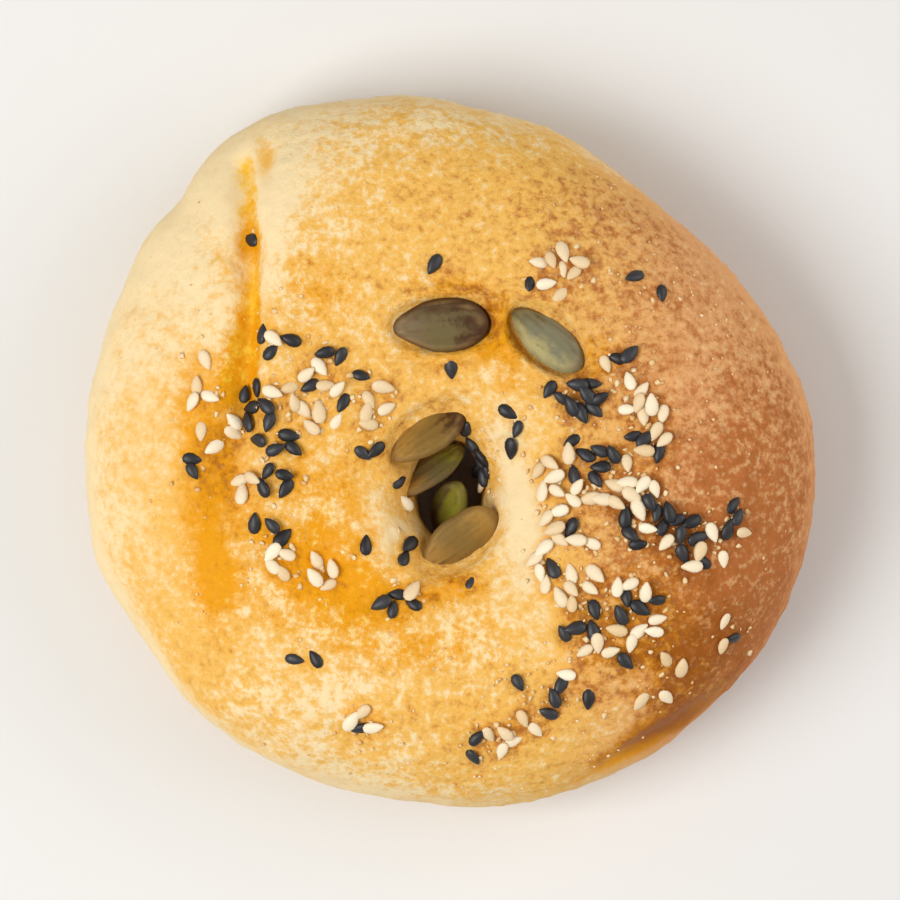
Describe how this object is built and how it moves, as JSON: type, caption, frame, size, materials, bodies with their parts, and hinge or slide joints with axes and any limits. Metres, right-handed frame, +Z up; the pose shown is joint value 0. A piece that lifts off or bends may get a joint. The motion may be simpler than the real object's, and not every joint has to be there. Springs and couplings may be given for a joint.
{
  "type": "bagel",
  "caption": "Round hand-shaped bagel with a small off-centre hole, a seam in its crust, and sesame and pumpkin seeds baked on top.",
  "frame": {"origin": "on the flat underside, under the middle of the bagel's outline", "axes": "+Z up out of the seeded top; -Y towards the side that the hole lies nearer to; +X to the right seen from above with -Y towards the viewer"},
  "size_m": [0.1092, 0.1064, 0.0365],
  "materials": {
    "crust": "baked golden crust, matt, with black and pale sesame fused on",
    "pumpkin_seed": "grey-green hulled seed with a waxy sheen"
  },
  "bodies": {
    "root": {"bagel": "crust", "pumpkin_seed_1": "pumpkin_seed", "pumpkin_seed_2": "pumpkin_seed", "pumpkin_seed_3": "pumpkin_seed", "pumpkin_seed_4": "pumpkin_seed", "pumpkin_seed_5": "pumpkin_seed", "pumpkin_seed_6": "pumpkin_seed"}
  },
  "joints": []
}
